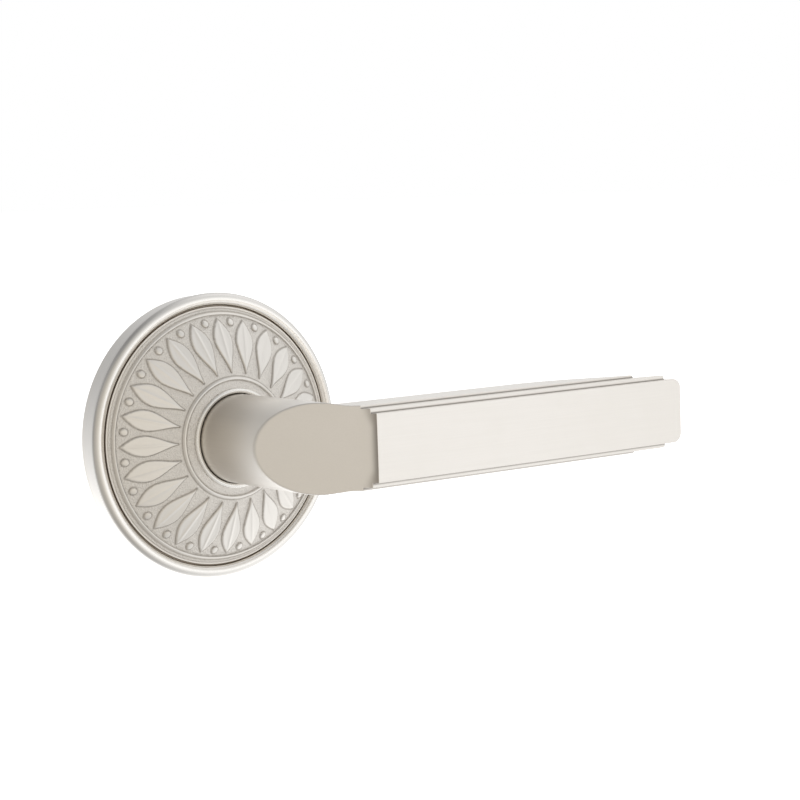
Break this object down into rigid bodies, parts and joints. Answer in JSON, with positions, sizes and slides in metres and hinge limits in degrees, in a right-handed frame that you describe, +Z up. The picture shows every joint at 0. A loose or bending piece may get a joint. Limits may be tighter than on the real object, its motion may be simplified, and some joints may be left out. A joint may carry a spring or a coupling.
{
  "type": "lever handle lockset",
  "caption": "Door lever trim: a stepped flat lever on a round neck turns a square spindle, over a domed rosette with petal relief and a sprung mechanism behind.",
  "frame": {"origin": "on the spindle axis, in the plane of the door face that the rosette rests on", "axes": "+X along the lever towards its tip, -Y out of the door towards the user, +Y into the door along the spindle, +Z up"},
  "size_m": [0.1378, 0.0921, 0.0684],
  "materials": {
    "satin_nickel_lever": "satin nickel over cast zinc, fine brushed",
    "satin_nickel_rose": "satin nickel, relief field with a fine stipple and a polished bead",
    "spindle_steel": "drawn bright steel",
    "black_steel": "black oxide set screws and circlip",
    "zinc_plated_steel": "bright zinc plate",
    "spring_steel": "oiled spring wire and spring washers",
    "die_cast_zinc": "as-cast zinc alloy, fine grain",
    "nylon": "natural nylon",
    "bronze": "sintered bronze bush"
  },
  "bodies": {
    "rose": {"rosette": "satin_nickel_rose", "rosette_collar": "satin_nickel_rose", "rosette_set_screw": "black_steel", "mounting_plate": "zinc_plated_steel", "neck_bushing": "nylon", "spring_housing": "die_cast_zinc", "rear_bushing": "bronze", "stop_pins": "spindle_steel", "return_spring": "spring_steel", "housing_screws": "zinc_plated_steel", "through_bolts": "zinc_plated_steel", "bolt_washers": "spring_steel"},
    "lever": {"lever_handle": "satin_nickel_lever", "lever_set_screw": "black_steel", "spindle": "spindle_steel", "spindle_pin": "spindle_steel", "spring_rotor": "die_cast_zinc", "wave_washer": "spring_steel", "thrust_washer": "nylon", "rotor_circlip": "black_steel"}
  },
  "joints": [
    {"name": "lever_turn", "type": "hinge", "parent": "rose", "child": "lever", "pos_m": [0, 0, 0], "axis": [0, 1, 0], "range_deg": [-50, 50], "stiffness_Nm_per_rad": 1.2, "springref_deg": -2.87, "deforming": ["return_spring"]}
  ]
}
